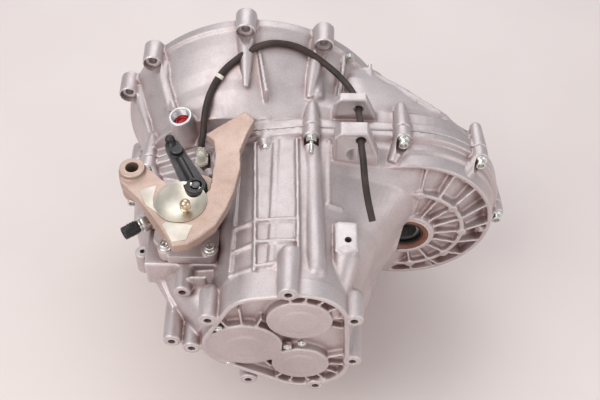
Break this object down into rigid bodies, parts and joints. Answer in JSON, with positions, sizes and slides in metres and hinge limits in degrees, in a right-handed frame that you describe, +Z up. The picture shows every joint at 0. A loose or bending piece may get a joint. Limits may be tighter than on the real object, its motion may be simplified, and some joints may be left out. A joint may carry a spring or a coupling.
{
  "type": "manual transmission",
  "caption": "Transverse manual transmission with clutch bell, ribbed aluminium gear case, offset differential and a top selector with counterweight.",
  "frame": {"origin": "centre of the bounding box, on the plane the lowest lugs touch", "axes": "+Y along the shafts towards the engine, +X towards the differential, +Z up towards the selector"},
  "size_m": [0.527, 0.3754, 0.3999],
  "materials": {
    "cast_aluminium": "as-cast, satin with a fine grain",
    "gear_steel": "ground and oiled",
    "bearing_steel": "polished",
    "carrier_iron": "as cast",
    "counterweight_iron": "yellow-passivated casting, satin",
    "black_steel": "black phosphate, satin",
    "plated_steel": "zinc plated",
    "seal_rubber": "matt, rust-brown",
    "hose_rubber": "matt",
    "black_plastic": "matt",
    "white_plastic": "satin",
    "red_plastic": "gloss"
  },
  "bodies": {
    "housing": {"clutch_housing": "cast_aluminium", "gear_case": "cast_aluminium", "selector_housing": "cast_aluminium", "input_bearing_front": "bearing_steel", "input_bearing_rear": "bearing_steel", "upper_bearing_front": "bearing_steel", "upper_bearing_rear": "bearing_steel", "lower_bearing_front": "bearing_steel", "lower_bearing_rear": "bearing_steel", "differential_bearing_front": "bearing_steel", "differential_bearing_rear": "bearing_steel", "reverse_idler_shaft": "gear_steel", "fork_rail_upper": "gear_steel", "fork_rail_lower": "gear_steel", "driveshaft_seal_front": "seal_rubber", "driveshaft_seal_rear": "seal_rubber", "slave_cylinder": "black_plastic", "reverse_light_switch": "plated_steel", "reverse_light_connector": "black_plastic", "hydraulic_port_plug": "red_plastic", "breather_nipple": "white_plastic", "breather_hose": "hose_rubber"},
    "input": {"input_shaft": "gear_steel", "input_gear_3": "gear_steel", "input_gear_4": "gear_steel", "input_gear_5": "gear_steel", "input_gear_6": "gear_steel"},
    "output_upper": {"output_shaft_upper": "gear_steel"},
    "output_lower": {"output_shaft_lower": "gear_steel"},
    "gear_1": {"output_gear_1": "gear_steel"},
    "gear_2": {"output_gear_2": "gear_steel"},
    "gear_3": {"output_gear_3": "gear_steel"},
    "gear_4": {"output_gear_4": "gear_steel"},
    "gear_5": {"output_gear_5": "gear_steel"},
    "gear_6": {"output_gear_6": "gear_steel"},
    "gear_reverse": {"output_gear_reverse": "gear_steel"},
    "idler": {"reverse_idler_gear": "gear_steel"},
    "sleeve_1_2": {"synchro_sleeve_1_2": "gear_steel"},
    "sleeve_3_4": {"synchro_sleeve_3_4": "gear_steel"},
    "sleeve_5_6": {"synchro_sleeve_5_6": "gear_steel"},
    "sleeve_reverse": {"synchro_sleeve_reverse": "gear_steel"},
    "fork_1_2": {"shift_fork_1_2": "cast_aluminium"},
    "fork_3_4": {"shift_fork_3_4": "cast_aluminium"},
    "fork_5_6": {"shift_fork_5_6": "cast_aluminium"},
    "fork_reverse": {"shift_fork_reverse": "cast_aluminium"},
    "differential": {"final_drive_ring_gear": "gear_steel", "differential_carrier": "carrier_iron", "differential_pin": "gear_steel"},
    "spider_upper": {"spider_gear_upper": "gear_steel"},
    "spider_lower": {"spider_gear_lower": "gear_steel"},
    "side_front": {"side_gear_front": "gear_steel"},
    "side_rear": {"side_gear_rear": "gear_steel"},
    "release": {"release_bearing": "bearing_steel"},
    "collar": {"select_collar": "plated_steel"},
    "selector": {"selector_shaft": "gear_steel", "counterweight": "counterweight_iron", "shift_ball_stud": "plated_steel"},
    "lever": {"select_lever": "black_steel"}
  },
  "joints": [
    {"name": "input_shaft_spin", "type": "hinge", "parent": "housing", "child": "input", "pos_m": [-0.07133, 0.00775, 0.19614], "axis": [0, 1, 0], "continuous": true},
    {"name": "differential_spin", "type": "hinge", "parent": "housing", "child": "differential", "pos_m": [0.12767, 0.03475, 0.19114], "axis": [0, 1, 0], "continuous": true},
    {"name": "output_shaft_upper_spin", "type": "hinge", "parent": "housing", "child": "output_upper", "pos_m": [-0.00733, -0.03225, 0.25214], "axis": [0, 1, 0], "continuous": true},
    {"name": "output_shaft_lower_spin", "type": "hinge", "parent": "housing", "child": "output_lower", "pos_m": [-0.00633, -0.03225, 0.15414], "axis": [0, 1, 0], "continuous": true},
    {"name": "output_gear_1_spin", "type": "hinge", "parent": "housing", "child": "gear_1", "pos_m": [-0.00633, 0.04375, 0.15414], "axis": [0, 1, 0], "continuous": true},
    {"name": "output_gear_2_spin", "type": "hinge", "parent": "housing", "child": "gear_2", "pos_m": [-0.00633, 0.00175, 0.15414], "axis": [0, 1, 0], "continuous": true},
    {"name": "output_gear_3_spin", "type": "hinge", "parent": "housing", "child": "gear_3", "pos_m": [-0.00633, -0.01625, 0.15414], "axis": [0, 1, 0], "continuous": true},
    {"name": "output_gear_4_spin", "type": "hinge", "parent": "housing", "child": "gear_4", "pos_m": [-0.00633, -0.05825, 0.15414], "axis": [0, 1, 0], "continuous": true},
    {"name": "output_gear_5_spin", "type": "hinge", "parent": "housing", "child": "gear_5", "pos_m": [-0.00733, -0.07625, 0.25214], "axis": [0, 1, 0], "continuous": true},
    {"name": "output_gear_6_spin", "type": "hinge", "parent": "housing", "child": "gear_6", "pos_m": [-0.00733, -0.11825, 0.25214], "axis": [0, 1, 0], "continuous": true},
    {"name": "reverse_idler_spin", "type": "hinge", "parent": "housing", "child": "idler", "pos_m": [-0.06883, 0.04375, 0.24634], "axis": [0, 1, 0], "continuous": true},
    {"name": "output_gear_reverse_spin", "type": "hinge", "parent": "housing", "child": "gear_reverse", "pos_m": [-0.00733, 0.04375, 0.25214], "axis": [0, 1, 0], "continuous": true},
    {"name": "fork_1_2_slide", "type": "slide", "parent": "housing", "child": "fork_1_2", "axis": [0, 1, 0], "range_m": [-0.004, 0.004]},
    {"name": "sleeve_1_2_slide", "type": "slide", "parent": "output_lower", "child": "sleeve_1_2", "axis": [0, 1, 0], "range_m": [-0.004, 0.004]},
    {"name": "fork_3_4_slide", "type": "slide", "parent": "housing", "child": "fork_3_4", "axis": [0, 1, 0], "range_m": [-0.004, 0.004]},
    {"name": "sleeve_3_4_slide", "type": "slide", "parent": "output_lower", "child": "sleeve_3_4", "axis": [0, 1, 0], "range_m": [-0.004, 0.004]},
    {"name": "fork_5_6_slide", "type": "slide", "parent": "housing", "child": "fork_5_6", "axis": [0, 1, 0], "range_m": [-0.004, 0.004]},
    {"name": "sleeve_5_6_slide", "type": "slide", "parent": "output_upper", "child": "sleeve_5_6", "axis": [0, 1, 0], "range_m": [-0.004, 0.004]},
    {"name": "fork_reverse_slide", "type": "slide", "parent": "housing", "child": "fork_reverse", "axis": [0, 1, 0], "range_m": [-0.004, 0.004]},
    {"name": "sleeve_reverse_slide", "type": "slide", "parent": "output_upper", "child": "sleeve_reverse", "axis": [0, 1, 0], "range_m": [-0.004, 0.004]},
    {"name": "side_gear_front_spin", "type": "hinge", "parent": "differential", "child": "side_front", "pos_m": [0.12767, 0.03475, 0.19114], "axis": [0, 1, 0], "continuous": true},
    {"name": "side_gear_rear_spin", "type": "hinge", "parent": "differential", "child": "side_rear", "pos_m": [0.12767, 0.03475, 0.19114], "axis": [0, 1, 0], "continuous": true},
    {"name": "spider_gear_upper_spin", "type": "hinge", "parent": "differential", "child": "spider_upper", "pos_m": [0.12767, 0.03475, 0.19114], "axis": [0, 0, 1], "continuous": true},
    {"name": "spider_gear_lower_spin", "type": "hinge", "parent": "differential", "child": "spider_lower", "pos_m": [0.12767, 0.03475, 0.19114], "axis": [0, 0, 1], "continuous": true},
    {"name": "release_bearing_slide", "type": "slide", "parent": "housing", "child": "release", "axis": [0, 1, 0], "range_m": [0, 0.012]},
    {"name": "select_slide", "type": "slide", "parent": "housing", "child": "collar", "axis": [0, 0, 1], "range_m": [-0.003, 0.006]},
    {"name": "shift_swing", "type": "hinge", "parent": "collar", "child": "selector", "pos_m": [-0.12933, -0.05525, 0.29614], "axis": [0, 0, 1], "range_deg": [-10, 10]},
    {"name": "select_lever_swing", "type": "hinge", "parent": "collar", "child": "lever", "pos_m": [-0.12933, -0.05525, 0.33014], "axis": [0, 0, 1], "range_deg": [-6.1, 12.1]}
  ],
  "couplings": [
    {"joint": "output_shaft_upper_spin", "follows": "differential_spin", "ratio": -2.7059},
    {"joint": "output_shaft_lower_spin", "follows": "differential_spin", "ratio": -3.5385},
    {"joint": "output_gear_1_spin", "follows": "input_shaft_spin", "ratio": -0.33333},
    {"joint": "output_gear_2_spin", "follows": "input_shaft_spin", "ratio": -0.53846},
    {"joint": "output_gear_3_spin", "follows": "input_shaft_spin", "ratio": -0.73913},
    {"joint": "output_gear_4_spin", "follows": "input_shaft_spin", "ratio": -1},
    {"joint": "output_gear_5_spin", "follows": "input_shaft_spin", "ratio": -1},
    {"joint": "output_gear_6_spin", "follows": "input_shaft_spin", "ratio": -1.3158},
    {"joint": "reverse_idler_spin", "follows": "input_shaft_spin", "ratio": -0.625},
    {"joint": "output_gear_reverse_spin", "follows": "input_shaft_spin", "ratio": 0.625},
    {"joint": "sleeve_1_2_slide", "follows": "fork_1_2_slide", "ratio": 1},
    {"joint": "sleeve_3_4_slide", "follows": "fork_3_4_slide", "ratio": 1},
    {"joint": "sleeve_5_6_slide", "follows": "fork_5_6_slide", "ratio": 1},
    {"joint": "sleeve_reverse_slide", "follows": "fork_reverse_slide", "ratio": 1},
    {"joint": "side_gear_rear_spin", "follows": "side_gear_front_spin", "ratio": -1},
    {"joint": "spider_gear_upper_spin", "follows": "side_gear_front_spin", "ratio": -1.2},
    {"joint": "spider_gear_lower_spin", "follows": "side_gear_front_spin", "ratio": 1.2},
    {"joint": "select_lever_swing", "follows": "select_slide", "rad_per_m": 34.9}
  ]
}
